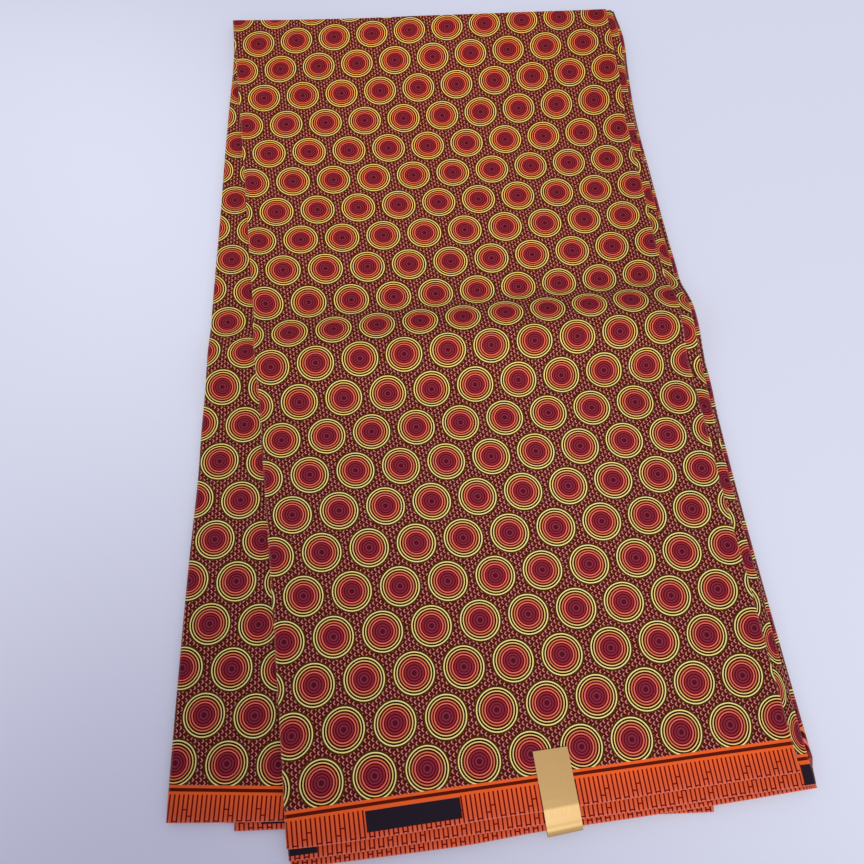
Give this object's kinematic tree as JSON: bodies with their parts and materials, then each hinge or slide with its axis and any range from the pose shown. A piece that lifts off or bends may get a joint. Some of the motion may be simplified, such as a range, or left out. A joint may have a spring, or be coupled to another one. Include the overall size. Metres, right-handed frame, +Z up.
{
  "type": "folded wax print fabric",
  "caption": "Length of printed cotton cloth, doubled and folded flat into panels that fan out to one side, with a raised packing crease across it and a small foil strip over its selvedge ends.",
  "frame": {"origin": "middle of the part's box, on the surface that the folded cloth lies on", "axes": "+Y runs up the panels from the selvedge ends to the doubling fold, +X runs across them to the right, +Z is up"},
  "size_m": [0.3718, 0.6038, 0.0213],
  "materials": {
    "printed_cotton": "pressed cotton with a wax print of rings in yellow, orange, red and crimson on maroon, and an orange selvedge",
    "inner_folds": "folded cotton edges, printed through, matt",
    "gold_foil": "metallised gold film, finely brushed"
  },
  "bodies": {
    "root": {"hidden_layers": "inner_folds", "lower_panel": "printed_cotton", "fanned_panel": "printed_cotton", "third_panel": "printed_cotton", "second_panel": "printed_cotton", "top_panel": "printed_cotton", "foil_label": "gold_foil"}
  },
  "joints": []
}
